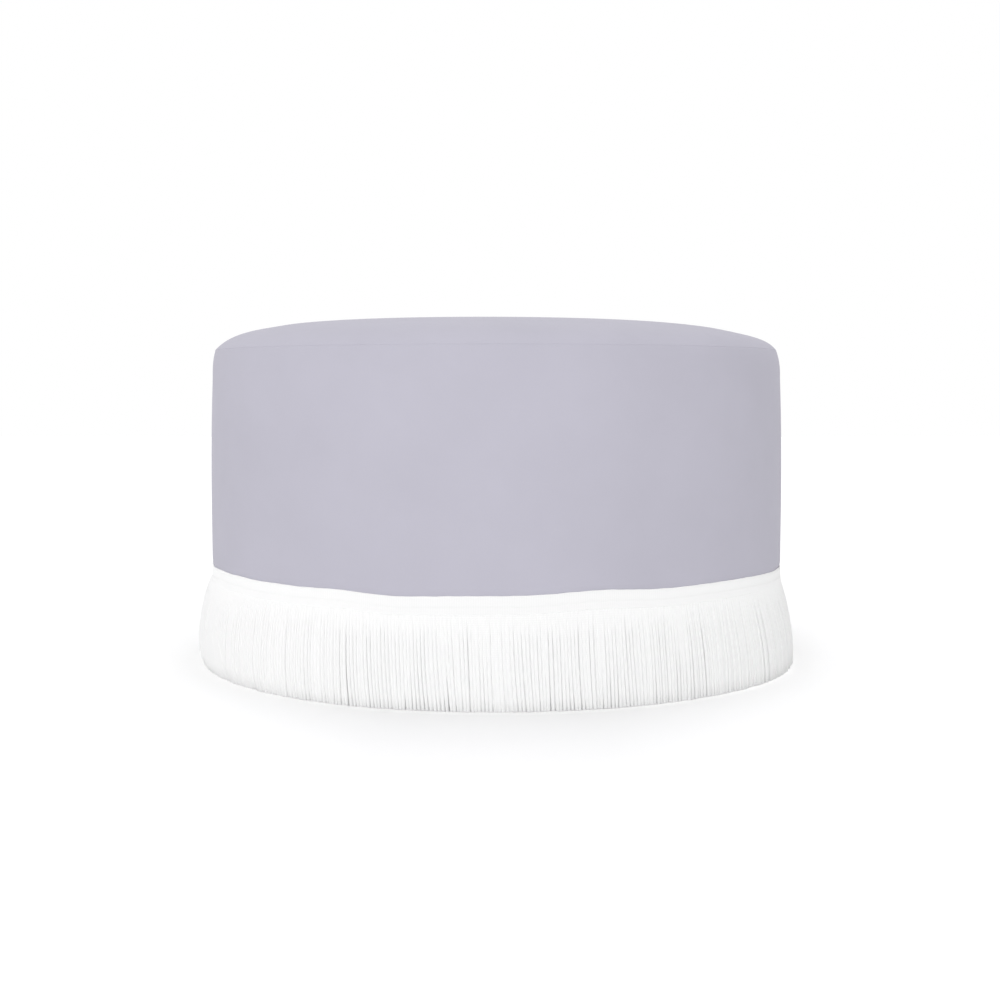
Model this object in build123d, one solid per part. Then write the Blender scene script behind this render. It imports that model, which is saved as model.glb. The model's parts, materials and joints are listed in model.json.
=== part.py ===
# Round drum ottoman with a crowned seat, a two-panel side band and a hanging strand fringe.
# Millimetres, +Z up. The origin is on the floor, under the centre of the seat. -Y is the front.
import math
import os

from build123d import *

# Overall form of the cover
cover_diameter = 760.0  # over the side band at its fullest
seat_height = 445.0  # floor to the top of the crown
crown_height = 38.0  # rise of the crown above the top seam
crown_drop = 9.0  # fall of the flat middle of the crown
shoulder_width = 84.0  # width of the rounded shoulder, inwards from the top seam
seam_inset = 6.5  # top seam inside the fullest radius
roll_height = 20.0  # height of the rolled edge under the top seam
roll_inset = 0.8  # where the roll starts, inside the fullest radius
waist_inset = 1.5  # bottom of the side band, inside the fullest radius

# Cover and filling
fabric_thickness = 1.0
hem_turn = 30.0  # cover turned in under the base ring
wadding_thickness = 18.0  # fibre over the seat foam
side_foam_thickness = 18.0  # foam wrapped round the drum wall
foam_thickness = 90.0  # seat foam at the middle
foam_edge_drop = 15.0  # shoulder of the seat foam under the top seam
hessian_thickness = 0.8
dust_cloth_thickness = 0.6

# Seat webbing
webbing_width = 60.0
webbing_thickness = 1.5
webbing_pitch = 110.0
webbing_count = 4  # straps each way
webbing_ramp = 15.0  # length in which a strap comes back down to the ring
webbing_edge_gap = 2.0  # a strap starts to bend this far from its neighbour
webbing_grip_inset = 8.0  # strap corners inside the rim of the top ring

# Wooden frame
ring_thickness = 18.0
ring_width = 100.0
wall_thickness = 4.0
wall_butt_gap = 1.0
post_size = 45.0
post_count = 8
post_clearance = 0.3  # post corners to the drum wall

# Feet
foot_count = 4
foot_height = 30.0
foot_top_diameter = 60.0
foot_base_diameter = 48.0
foot_edge_radius = 2.5
foot_spigot_diameter = 24.0  # raised middle that passes through the dust cloth
pad_thickness = 3.0
pad_margin = 3.0
pad_edge_radius = 0.8

# Fasteners
screw_diameter = 5.0
screw_length = 60.0
screw_head_diameter = 9.0
screw_head_height = 2.5
foot_screw_diameter = 6.0
foot_screw_grip = 15.0  # length of screw in the base ring
foot_screw_head_diameter = 12.0
foot_screw_head_height = 4.0
foot_screw_seat = 12.0  # solid foot above the screw head
foot_well_clearance = 1.0  # round the screw head, for the driver
hole_clearance = 0.1
staple_crown = 10.0
staple_wire = 0.8
staple_leg = 9.0
wall_staple_count = 8  # round each ring
hem_staple_count = 16
dust_staple_count = 12
strap_staple_inset = 12.0  # staple inside the end of a strap
hem_staple_inset = 6.0  # staples inside the rim of the base ring
dust_cloth_inset = 4.0  # dust cloth inside the hem staples
dust_staple_inset = 5.0  # staples inside the edge of the dust cloth

# Fringe
fringe_top = 130.0  # floor to the upper edge of the heading
fringe_floor_gap = 4.0  # longest strands clear the floor by this
heading_height = 21.0
heading_top_thickness = 2.6
heading_foot_thickness = 5.8
heading_gap = 0.3  # heading to cover
tape_height = 5.0  # strip that carries the strands, under the heading
fringe_flare = 12.5  # strands stand out this far beyond the heading
fringe_belly = 9.2  # and this far half way down
strand_depth = 5.0
strand_width = 3.5
strands_per_sector = 40
sector_count = 12
strand_unevenness = 2.4  # longest strand less the shortest
strand_kinds = 5  # strand lengths, taken in turn
strand_kind_step = 3  # the next strand is this many lengths on

# Worked out from the above
cover_radius = cover_diameter / 2
seam_radius = cover_radius - seam_inset
seam_height = seat_height - crown_height
wall_radius = cover_radius - fabric_thickness - side_foam_thickness
ring_radius = wall_radius - wall_thickness
ring_hole_radius = ring_radius - ring_width
foam_bottom = seat_height - fabric_thickness - wadding_thickness - foam_thickness
foam_edge = seam_height - foam_edge_drop
hessian_bottom = foam_bottom - hessian_thickness
top_ring_top = hessian_bottom - 2 * webbing_thickness
top_ring_bottom = top_ring_top - ring_thickness
foot_top = pad_thickness + foot_height
base_bottom = foot_top + dust_cloth_thickness + fabric_thickness
base_top = base_bottom + ring_thickness
hem_bottom = base_bottom - fabric_thickness
dust_bottom = hem_bottom - dust_cloth_thickness
spigot_height = base_bottom - foot_top
post_face = math.sqrt((ring_radius - post_clearance) ** 2 - (post_size / 2) ** 2)
post_radius = post_face - post_size / 2
post_turn = 360 / post_count
foot_circle_radius = ring_radius - ring_width / 2
hem_staple_radius = ring_radius - hem_staple_inset
dust_cloth_radius = hem_staple_radius - dust_cloth_inset
dust_staple_radius = dust_cloth_radius - dust_staple_inset
heading_bottom = fringe_top - heading_height
sector_angle = 360 / sector_count
wall_staple_start = 180 / wall_staple_count  # half a step, clear of the butt joint at the back

# The flat middle of the crown is an arc about a centre on the axis
crown_joint_radius = seam_radius - shoulder_width
crown_radius = (crown_joint_radius**2 + crown_drop**2) / (2 * crown_drop)
crown_joint_angle = math.asin(crown_joint_radius / crown_radius)


def at(radius, height):
    return Vector(radius, 0, height)


def crown_point(angle, inset):
    reach = crown_radius - inset
    return at(reach * math.sin(angle), seat_height - crown_radius + reach * math.cos(angle))


def seam_point(inset):
    return at(seam_radius, seam_height) - Vector(1, 0, 1).normalized() * inset


def crown_edges(inset, rim):
    """Arcs from the axis over the crown and its shoulder to the rim, inset inside the cover."""
    joint = crown_point(crown_joint_angle, inset)
    flat = ThreePointArc(crown_point(0, inset), crown_point(crown_joint_angle / 2, inset), joint)
    return [flat, TangentArc(joint, rim, tangent=flat % 1)]


def side_edges(inset):
    """Arcs from the hem up the side and round the rolled edge to the top seam."""
    roll_start = at(cover_radius - roll_inset - inset, seam_height - roll_height)
    hem = at(cover_radius - waist_inset - inset, hem_bottom + inset)
    belly = at(cover_radius - inset, (roll_start.Z + hem.Z) / 2)
    side = ThreePointArc(hem, belly, roll_start)
    return [side, TangentArc(roll_start, seam_point(inset), tangent=side % 1)]


def side_radius(height):
    """Outer radius of the side band at a height."""
    side = side_edges(0)[0]
    centre = side.arc_center
    return centre.X + math.sqrt(side.radius**2 - (height - centre.Z) ** 2)


def turned(edges):
    """The solid that the closed outline makes about the vertical axis."""
    return revolve(make_face(edges), Axis.Z)


def ring(outer, inner, bottom, height):
    wide = Cylinder(outer, height, align=(Align.CENTER, Align.CENTER, Align.MIN))
    hole = Cylinder(inner, height, align=(Align.CENTER, Align.CENTER, Align.MIN))
    return Pos(0, 0, bottom) * (wide - hole)


def disc(radius, bottom, height):
    return Pos(0, 0, bottom) * Cylinder(radius, height, align=(Align.CENTER, Align.CENTER, Align.MIN))


def around(count, radius, height, start=0.0):
    """Places evenly round the axis, with local X pointing outwards."""
    step = 360 / count
    return [Rot(0, 0, start + step * k) * Pos(radius, 0, height) for k in range(count)]


def countersunk_screw(spare=0.0):
    """Wood screw, head face at the origin and shank up +Z. Spare widens it into its own hole."""
    head = Cone(
        screw_head_diameter / 2 + spare,
        screw_diameter / 2 + spare,
        screw_head_height,
        align=(Align.CENTER, Align.CENTER, Align.MIN),
    )
    shank = disc(screw_diameter / 2 + spare, 0, screw_length + spare)
    return head + shank


def foot_screw(spare=0.0):
    """Pan-headed screw of a foot, head face at the origin and shank up +Z."""
    length = foot_screw_head_height + foot_screw_seat + spigot_height + foot_screw_grip
    head = disc(foot_screw_head_diameter / 2 + spare, 0, foot_screw_head_height)
    return head + disc(foot_screw_diameter / 2 + spare, 0, length + spare)


def staple(clearance=0):
    """Staple with its crown along X, set flush at the origin, and its legs up +Z.

    With a clearance it is the slot that a staple is driven into, open past its crown.
    """
    low = (Align.CENTER, Align.CENTER, Align.MIN)
    wire = staple_wire + 2 * clearance
    past = 2 * clearance
    deeper = past + clearance
    body = Pos(0, 0, -past) * Box(staple_crown + 2 * clearance, wire, staple_wire + deeper, align=low)
    for side in (-1, 1):
        body += Pos(side * (staple_crown - staple_wire) / 2, 0, -past) * Box(
            wire, wire, staple_leg + deeper, align=low
        )
    return body


def placed(shape, places):
    return [place * shape for place in places]


def write(name, *solids):
    shape = solids[0] if len(solids) == 1 else Compound(children=list(solids))
    export_step(shape, f"parts/{name}.step")


def cover_top():
    rim = seam_point(0)
    inner_rim = seam_point(fabric_thickness)
    outer = crown_edges(0, rim)
    inner = crown_edges(fabric_thickness, inner_rim)
    return turned([*outer, *inner, Line(rim, inner_rim), Line(inner[0] @ 0, outer[0] @ 0)])


def cover_band(start):
    """Half of the side band, with its hem turned in under the base ring."""
    outer = side_edges(0)
    inner = side_edges(fabric_thickness)
    turn_in = ring_radius - hem_turn
    hem = Polyline(outer[0] @ 0, at(turn_in, hem_bottom), at(turn_in, base_bottom), inner[0] @ 0)
    outline = make_face([*outer, *inner, Line(outer[1] @ 1, inner[1] @ 1), hem])
    return Rot(0, 0, start) * revolve(outline, Axis.Z, revolution_arc=180)


def foam_edges():
    return crown_edges(fabric_thickness + wadding_thickness, at(wall_radius, foam_edge))


def padding():
    """Everything soft between the cover and the foam block or drum wall, in one piece."""
    side = side_edges(fabric_thickness)
    crown = crown_edges(fabric_thickness, seam_point(fabric_thickness))
    foam = foam_edges()
    inside = Polyline(at(wall_radius, foam_edge), at(wall_radius, base_bottom), side[0] @ 0)
    return turned([*side, *crown, *foam, inside, Line(crown[0] @ 0, foam[0] @ 0)])


def seat_foam():
    top = foam_edges()
    sides = Polyline(top[1] @ 1, at(wall_radius, foam_bottom), at(0, foam_bottom), top[0] @ 0)
    return turned([*top, sides])


def drum_wall():
    wall = ring(wall_radius, ring_radius, base_bottom, foam_bottom - base_bottom)
    slit = Pos(0, (wall_radius + ring_radius) / 2, base_bottom) * Box(
        wall_butt_gap,
        4 * wall_thickness,
        foam_bottom - base_bottom,
        align=(Align.CENTER, Align.CENTER, Align.MIN),
    )
    return wall - slit


def post():
    length = top_ring_bottom - base_top
    return Pos(post_radius, 0, base_top) * Box(
        post_size, post_size, length, align=(Align.CENTER, Align.CENTER, Align.MIN)
    )


def strap_place(index):
    return webbing_pitch * (index - (webbing_count - 1) / 2)


def strap_reach(index):
    """Half the length of a strap, so that its corners stay on the top ring."""
    corner = abs(strap_place(index)) + webbing_width / 2
    return math.sqrt((ring_radius - webbing_grip_inset) ** 2 - corner**2)


def strap(index, shift=0):
    """Strap along X, over and under the straps that cross it. Shift swaps over for under."""
    reach = strap_reach(index)
    half = webbing_width / 2 + webbing_edge_gap
    path = [(-reach, 0)]
    for crossing in range(webbing_count):
        level = (index + crossing + shift) % 2
        if crossing == 0 and level:
            path.append((strap_place(0) - half - webbing_ramp, 0))
        path.append((strap_place(crossing) - half, level))
        path.append((strap_place(crossing) + half, level))
        if crossing == webbing_count - 1 and level:
            path.append((strap_place(crossing) + half + webbing_ramp, 0))
    path.append((reach, 0))
    under = [Vector(x, 0, top_ring_top + level * webbing_thickness) for x, level in path]
    over = [point + Vector(0, 0, webbing_thickness) for point in reversed(under)]
    side = make_face(Polyline(*under, *over, close=True))
    body = extrude(side, webbing_width / 2, dir=(0, 1, 0), both=True)
    return Pos(0, strap_place(index), 0) * body


def strap_staple_places(index):
    """A staple across each end of a strap, driven down."""
    along = strap_reach(index) - strap_staple_inset
    top = top_ring_top + webbing_thickness
    return [Pos(end * along, strap_place(index), top) * Rot(180, 0, 90) for end in (-1, 1)]


def foot():
    block = Cone(
        foot_base_diameter / 2,
        foot_top_diameter / 2,
        foot_height,
        align=(Align.CENTER, Align.CENTER, Align.MIN),
    )
    block = fillet(block.edges().sort_by(Axis.Z)[0], foot_edge_radius)
    body = Pos(0, 0, pad_thickness) * block + disc(foot_spigot_diameter / 2, foot_top, spigot_height)
    head_depth = foot_height - foot_screw_seat
    well_radius = foot_screw_head_diameter / 2 + foot_well_clearance
    well = disc(well_radius, pad_thickness, head_depth)
    return body - well - foot_screw_place() * foot_screw(hole_clearance)


def foot_screw_place():
    return Pos(0, 0, foot_top - foot_screw_seat - foot_screw_head_height)


def foot_pad():
    pad = disc(foot_base_diameter / 2 - pad_margin, 0, pad_thickness)
    return fillet(pad.edges().sort_by(Axis.Z)[0], pad_edge_radius)


def fringe_heading():
    inner = side_radius(fringe_top) + heading_gap
    return turned(
        Polyline(
            at(inner, fringe_top),
            at(inner + heading_top_thickness, fringe_top),
            at(inner + heading_foot_thickness, heading_bottom),
            at(inner, heading_bottom),
            close=True,
        )
    )


def strand(shortfall):
    """One hanging strand in the XZ plane, starting inside the tape."""
    inner = side_radius(fringe_top) + heading_gap
    outer = inner + heading_foot_thickness
    head = heading_bottom - tape_height / 2
    foot_end = fringe_floor_gap + shortfall
    middle = (head + foot_end) / 2
    front = ThreePointArc(
        at(outer, head), at(outer + fringe_belly, middle), at(outer + fringe_flare, foot_end)
    )
    back = ThreePointArc(
        at(outer - strand_depth, head),
        at(outer - strand_depth + fringe_belly, middle),
        at(outer - strand_depth + fringe_flare, foot_end),
    )
    outline = make_face([front, back, Line(front @ 0, back @ 0), Line(front @ 1, back @ 1)])
    return extrude(outline, strand_width / 2, dir=(0, 1, 0), both=True)


def fringe_sector():
    """Strip of tape with its strands, from 0 degrees round to one sector angle."""
    inner = side_radius(fringe_top) + heading_gap
    outer = inner + heading_foot_thickness
    strip = make_face(
        Polyline(
            at(inner, heading_bottom),
            at(outer, heading_bottom),
            at(outer, heading_bottom - tape_height),
            at(inner, heading_bottom - tape_height),
            close=True,
        )
    )
    tape = revolve(strip, Axis.Z, revolution_arc=sector_angle)
    kinds = [strand(strand_unevenness * k / strand_kinds) for k in range(strand_kinds)]
    step = sector_angle / strands_per_sector
    strands = [
        Rot(0, 0, step * (k + 0.5)) * kinds[k * strand_kind_step % strand_kinds]
        for k in range(strands_per_sector)
    ]
    return tape.fuse(*strands)


def main():
    os.makedirs("parts", exist_ok=True)

    # Places of the fasteners
    post_places = [Rot(0, 0, post_turn * (k + 0.5)) for k in range(post_count)]
    foot_places = around(foot_count, foot_circle_radius, 0, 180 / foot_count)
    base_places = around(post_count, post_radius, base_bottom, post_turn / 2)
    base_screws = placed(countersunk_screw(), base_places)
    base_screw_holes = placed(countersunk_screw(hole_clearance), base_places)
    upside_down = Rot(180, 0, 0)
    top_places = around(post_count, post_radius, top_ring_top, post_turn / 2)
    top_screws = placed(upside_down * countersunk_screw(), top_places)
    top_screw_holes = placed(upside_down * countersunk_screw(hole_clearance), top_places)
    foot_screws = placed(foot_screw_place() * foot_screw(), foot_places)
    foot_screw_holes = placed(foot_screw_place() * foot_screw(hole_clearance), foot_places)
    inwards = Rot(0, -90, 0)
    wall_staple_places = [
        place * inwards
        for height in (base_bottom + ring_thickness / 2, top_ring_bottom + ring_thickness / 2)
        for place in around(wall_staple_count, wall_radius - hole_clearance, height, wall_staple_start)
    ]
    wall_staples = placed(staple(), wall_staple_places)
    wall_slots = placed(staple(hole_clearance), wall_staple_places)
    crosswise = Rot(0, 0, 90)
    hem_staples = [
        place * crosswise * staple()
        for place in around(hem_staple_count, hem_staple_radius, hem_bottom, 180 / hem_staple_count)
    ]
    dust_staples = [
        place * crosswise * staple()
        for place in around(dust_staple_count, dust_staple_radius, dust_bottom)
    ]
    quarter = Rot(0, 0, 90)
    strap_staples = [
        turn * place * staple()
        for turn in (Rot(0, 0, 0), quarter)
        for index in range(webbing_count)
        for place in strap_staple_places(index)
    ]

    # Frame
    base_ring = ring(ring_radius, ring_hole_radius, base_bottom, ring_thickness)
    write(
        "base_ring",
        base_ring - base_screw_holes - foot_screw_holes - wall_slots - hem_staples - dust_staples,
    )
    top_ring = ring(ring_radius, ring_hole_radius, top_ring_bottom, ring_thickness)
    write("top_ring", top_ring - top_screw_holes - wall_slots - strap_staples)
    for number, place in enumerate(post_places, 1):
        upright = place * post()
        write(f"upright_{number}", upright - base_screw_holes - top_screw_holes)
    write("drum_wall", drum_wall() - wall_slots)
    write("base_screws", *base_screws)
    write("top_screws", *top_screws)
    write("wall_staples", *wall_staples)

    # Seat
    for index in range(webbing_count):
        write(f"webbing_across_{index + 1}", strap(index) - strap_staples)
        turned_strap = quarter * strap(index, webbing_count)
        write(f"webbing_lengthways_{index + 1}", turned_strap - strap_staples)
    write("webbing_staples", *strap_staples)
    write("seat_hessian", disc(ring_radius, hessian_bottom, hessian_thickness))
    write("seat_foam", seat_foam())
    filling = padding()
    parting = Plane.XY.offset(foam_edge)
    write("seat_wadding", split(filling, bisect_by=parting, keep=Keep.TOP))
    write("side_wrap", split(filling, bisect_by=parting, keep=Keep.BOTTOM))

    # Cover
    write("cover_top", cover_top())
    for name, start in (("cover_band_back", 0), ("cover_band_front", 180)):
        write(name, cover_band(start) - hem_staples - dust_staples)
    write("hem_staples", *hem_staples)
    foot_hole = disc(foot_spigot_diameter / 2 + hole_clearance, dust_bottom, dust_cloth_thickness)
    foot_holes = placed(foot_hole, foot_places)
    dust_cloth = disc(dust_cloth_radius, dust_bottom, dust_cloth_thickness)
    write("dust_cloth", dust_cloth - foot_holes - dust_staples)
    write("dust_cloth_staples", *dust_staples)

    # Fringe
    write("fringe_heading", fringe_heading())
    sector = fringe_sector()
    for number in range(sector_count):
        write(f"fringe_strands_{number + 1}", Rot(0, 0, sector_angle * number) * sector)

    # Feet
    for number, place in enumerate(foot_places, 1):
        write(f"foot_{number}", place * foot())
        write(f"foot_pad_{number}", place * foot_pad())
    write("foot_screws", *foot_screws)


main()
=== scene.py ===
import json
import math
import random

import bmesh
import bpy
from mathutils import Matrix, Vector, noise


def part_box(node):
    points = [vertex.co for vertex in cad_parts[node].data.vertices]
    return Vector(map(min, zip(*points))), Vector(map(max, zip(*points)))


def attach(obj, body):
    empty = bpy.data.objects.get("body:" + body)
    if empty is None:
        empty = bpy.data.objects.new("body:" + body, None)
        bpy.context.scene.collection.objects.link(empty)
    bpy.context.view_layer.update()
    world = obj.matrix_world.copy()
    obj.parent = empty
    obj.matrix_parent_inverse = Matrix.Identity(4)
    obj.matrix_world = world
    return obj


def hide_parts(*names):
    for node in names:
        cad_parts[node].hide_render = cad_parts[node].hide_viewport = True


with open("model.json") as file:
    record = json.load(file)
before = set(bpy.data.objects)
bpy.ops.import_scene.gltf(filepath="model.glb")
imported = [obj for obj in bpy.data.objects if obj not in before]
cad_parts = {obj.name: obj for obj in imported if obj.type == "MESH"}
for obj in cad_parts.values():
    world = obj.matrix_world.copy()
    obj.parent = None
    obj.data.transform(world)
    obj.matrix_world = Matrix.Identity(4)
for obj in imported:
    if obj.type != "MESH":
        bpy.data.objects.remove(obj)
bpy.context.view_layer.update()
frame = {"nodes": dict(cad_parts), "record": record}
scene = bpy.context.scene
scene.view_settings.view_transform = "Standard"
print("frame loaded:", len(frame["nodes"]), "nodes")

mm = 0.001
frontAngle = -math.pi / 2  # the side in the photograph faces -Y


# Shader maths: a socket that can be written into a Python expression

class Sock:
    def __init__(self, kit, socket):
        self.kit = kit
        self.socket = socket

    def maths(self, operation, *others):
        values = {k: v for k, v in enumerate((self, *others))}
        return self.kit.node("Math", {"operation": operation}, values)

    def __add__(self, other):
        return self.maths("ADD", other)

    def __radd__(self, other):
        return self.maths("ADD", other)

    def __sub__(self, other):
        return self.maths("SUBTRACT", other)

    def __rsub__(self, other):
        return self.kit.node("Math", {"operation": "SUBTRACT"}, {0: other, 1: self})

    def __mul__(self, other):
        return self.maths("MULTIPLY", other)

    def __rmul__(self, other):
        return self.maths("MULTIPLY", other)

    def __truediv__(self, other):
        return self.maths("DIVIDE", other)

    def __pow__(self, other):
        return self.maths("POWER", other)

    def sine(self):
        return self.maths("SINE")

    def size(self):
        return self.maths("ABSOLUTE")

    def atLeast(self, low):
        return self.maths("MAXIMUM", low)


class Finish:
    # one material, its nodes and its Principled shader
    def __init__(self, name, roughness=0.8, **fixed):
        self.material = bpy.data.materials.new(name)
        self.material.use_nodes = True
        self.tree = self.material.node_tree
        self.shader = self.tree.nodes["Principled BSDF"]
        self.shader.inputs["Roughness"].default_value = roughness
        for label, value in fixed.items():
            self.shader.inputs[label.replace("_", " ")].default_value = value

    def put(self, socket, value):
        if isinstance(value, Sock):
            self.tree.links.new(value.socket, socket)
        elif value is not None:
            socket.default_value = value

    def node(self, kind, settings=None, sockets=None, output=0):
        made = self.tree.nodes.new("ShaderNode" + kind)
        for label, value in (settings or {}).items():
            if label == "stops":
                ramp = made.color_ramp
                while len(ramp.elements) < len(value):
                    ramp.elements.new(0.5)
                for element, (place, colour) in zip(ramp.elements, value):
                    element.position = place
                    element.color = (*colour, 1)
            else:
                setattr(made, label, value)
        for label, value in (sockets or {}).items():
            self.put(made.inputs[label], value)
        return Sock(self, made.outputs[output])

    def place(self, which="Object"):
        return self.node("TexCoord", output=which)

    def parts(self, vector):
        split = self.node("SeparateXYZ", sockets={0: vector})
        return [Sock(self, output) for output in split.socket.node.outputs]

    def speckle(self, vector, scale, detail=4.0, roughness=0.55):
        return self.node(
            "TexNoise", {"noise_dimensions": "3D"},
            {"Vector": vector, "Scale": scale, "Detail": detail, "Roughness": roughness},
        )

    def shades(self, value, *stops):
        return self.node("ValToRGB", {"stops": stops}, {"Fac": value})

    def mix(self, factor, first, second, blend="MIX"):
        return self.node(
            "Mix", {"data_type": "RGBA", "blend_type": blend}, {0: factor, 6: first, 7: second}, output=2
        )

    def stretched(self, vector, scale):
        return self.node("Mapping", sockets={"Vector": vector, "Scale": scale})

    def bump(self, height, strength, distance, under=None):
        return self.node(
            "Bump", sockets={"Height": height, "Strength": strength, "Distance": distance, "Normal": under}
        )

    def wear(self, colour=None, roughness=None, normal=None):
        for label, value in (("Base Color", colour), ("Roughness", roughness), ("Normal", normal)):
            self.put(self.shader.inputs[label], value)
        return self.material


def linear(*levels):
    # sRGB levels from 0 to 255, as the shader wants them
    shares = [level / 255 for level in levels]
    return tuple(s / 12.92 if s <= 0.04045 else ((s + 0.055) / 1.055) ** 2.4 for s in shares)


def tone(colour, factor):
    return tuple(min(1, c * factor) for c in colour)


coverCloth = {"colour": linear(192, 190, 202), "pile": 2600, "cloud": 9, "sheen": 0.08}


def makeCoverCloth():
    f = Finish("coverCloth", roughness=0.9, Sheen_Weight=coverCloth["sheen"], Sheen_Roughness=0.45,
               Specular_IOR_Level=0.25, Diffuse_Roughness=0.17)
    where = f.place()
    cloud = f.speckle(where, coverCloth["cloud"], 3)
    nap = f.speckle(f.stretched(where, (1, 1, 0.35)), coverCloth["pile"], 2)
    base = coverCloth["colour"]
    body = f.shades(cloud, (0.3, tone(base, 0.975)), (0.7, tone(base, 1.02)))
    colour = f.mix(0.12, body, f.shades(nap, (0.25, tone(base, 0.8)), (0.75, tone(base, 1.15))))
    fine = f.bump(nap, 0.18, 0.0004)
    return f.wear(colour, 0.88 + 0.08 * nap, f.bump(cloud, 0.05, 0.002, fine))


whiteBraid = {"colour": linear(247, 247, 247), "ribs": 900, "threads": 1500}


def makeWhiteBraid():
    f = Finish("whiteBraid", roughness=0.75, Sheen_Weight=0.4, Sheen_Roughness=0.5, Specular_IOR_Level=0.3,
               Diffuse_Roughness=1.0)
    x, y, z = f.parts(f.place())
    around = f.node("Math", {"operation": "ARCTAN2"}, {0: y, 1: x})
    rib = (around * whiteBraid["ribs"]).sine()
    thread = (z * (math.pi * whiteBraid["threads"]) + around * (whiteBraid["ribs"] / 2)).sine()
    weave = rib * 0.35 + thread * 0.25 + 0.5
    fuzz = f.speckle(f.place(), 1400, 2)
    base = whiteBraid["colour"]
    colour = f.shades(weave * 0.6 + fuzz * 0.4, (0.1, tone(base, 0.96)), (0.55, base))
    return f.wear(colour, 0.7 + 0.15 * fuzz, f.bump(weave, 0.12, 0.0003))


whiteCord = {"colour": linear(249, 249, 249), "twist": 420}


def makeWhiteCord():
    f = Finish("whiteCord", roughness=0.8, Sheen_Weight=0.45, Sheen_Roughness=0.5, Specular_IOR_Level=0.25,
               Diffuse_Roughness=1.0)
    u, v = f.parts(f.place("UV"))[:2]
    ply = (v * (2 * math.pi * whiteCord["twist"]) + u * (4 * math.pi)).sine() * 0.5 + 0.5
    fuzz = f.speckle(f.place(), 900, 3)
    base = whiteCord["colour"]
    colour = f.shades(ply * 0.45 + fuzz * 0.55, (0.2, tone(base, 0.96)), (0.6, base))
    return f.wear(colour, 0.75 + 0.15 * fuzz, f.bump(ply, 0.2, 0.0004))


def makeFoam(name, colour):
    f = Finish(name, roughness=0.95, Specular_IOR_Level=0.2)
    where = f.place()
    cells = f.node("TexVoronoi", {"feature": "F1"}, {"Vector": where, "Scale": 700.0})
    patch = f.speckle(where, 12, 3)
    shade = f.shades(cells, (0.05, tone(colour, 0.72)), (0.5, colour))
    return f.wear(f.mix(0.35, shade, f.shades(patch, (0.3, tone(colour, 0.9)), (0.7, tone(colour, 1.06)))),
                  0.9 + 0.08 * patch, f.bump(cells, 0.35, 0.0008))


def makeFibre(name, colour):
    f = Finish(name, roughness=0.95, Sheen_Weight=0.3, Sheen_Roughness=0.6, Specular_IOR_Level=0.2)
    where = f.place()
    strandsA = f.speckle(f.stretched(where, (1, 9, 3)), 90, 5, 0.7)
    strandsB = f.speckle(f.stretched(where, (9, 1, 3)), 90, 5, 0.7)
    tangle = strandsA * 0.5 + strandsB * 0.5
    return f.wear(f.shades(tangle, (0.35, tone(colour, 0.86)), (0.62, colour)), 0.9 + 0.08 * tangle,
                  f.bump(tangle, 0.6, 0.002))


def makeWeave(name, colour, pitch, dark=0.55, depth=0.0005):
    # plain weave in the level plane, one thread over and one under
    f = Finish(name, roughness=0.9, Specular_IOR_Level=0.2)
    where = f.place()
    x, y = f.parts(where)[:2]
    across = (x * (math.pi / pitch)).sine()
    along = (y * (math.pi / pitch)).sine()
    over = (across * along) * 0.5 + 0.5
    slub = f.speckle(f.stretched(where, (1, 6, 1)), 160, 3)
    colours = f.shades(over * 0.6 + slub * 0.4, (0.2, tone(colour, dark)), (0.65, colour))
    return f.wear(colours, 0.85 + 0.1 * slub, f.bump(over, 0.5, depth))


def makeNonWoven(name, colour):
    f = Finish(name, roughness=0.9, Specular_IOR_Level=0.25)
    where = f.place()
    dots = f.node("TexVoronoi", {"feature": "F1"}, {"Vector": where, "Scale": 420.0})
    web = f.speckle(where, 240, 4, 0.7)
    mixed = dots * 0.5 + web * 0.5
    return f.wear(f.shades(mixed, (0.2, tone(colour, 0.6)), (0.7, tone(colour, 1.5))), 0.8 + 0.15 * web,
                  f.bump(mixed, 0.4, 0.0004))


def makeWood(name, colour, grain, along=(14, 14, 1)):
    f = Finish(name, roughness=0.7, Specular_IOR_Level=0.35)
    where = f.place()
    streak = f.speckle(f.stretched(where, along), grain, 5, 0.6)
    ring = f.speckle(f.stretched(where, tuple(a * 0.3 for a in along)), grain * 0.35, 3)
    mixed = streak * 0.6 + ring * 0.4
    return f.wear(
        f.shades(mixed, (0.3, tone(colour, 0.68)), (0.5, colour), (0.7, tone(colour, 1.12))),
        0.62 + 0.2 * streak, f.bump(streak, 0.2, 0.0005),
    )


def makePlywood(name, colour, sheet=0.0022):
    # layers in the height show on the cut edges
    f = Finish(name, roughness=0.75, Specular_IOR_Level=0.3)
    where = f.place()
    height = f.parts(where)[2]
    layer = (height * (math.pi / sheet)).sine() * 0.5 + 0.5
    streak = f.speckle(f.stretched(where, (3, 40, 40)), 16, 5, 0.6)
    mixed = layer * 0.35 + streak * 0.65
    return f.wear(f.shades(mixed, (0.25, tone(colour, 0.66)), (0.7, tone(colour, 1.1))),
                  0.66 + 0.2 * streak, f.bump(streak, 0.2, 0.0004))


def makePlastic(name, colour):
    f = Finish(name, roughness=0.5, Specular_IOR_Level=0.5)
    grain = f.speckle(f.place(), 1800, 2)
    smudge = f.speckle(f.place(), 40, 3)
    return f.wear(f.shades(smudge, (0.3, tone(colour, 0.9)), (0.7, tone(colour, 1.25))),
                  0.42 + 0.2 * smudge, f.bump(grain, 0.15, 0.0002))


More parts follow.
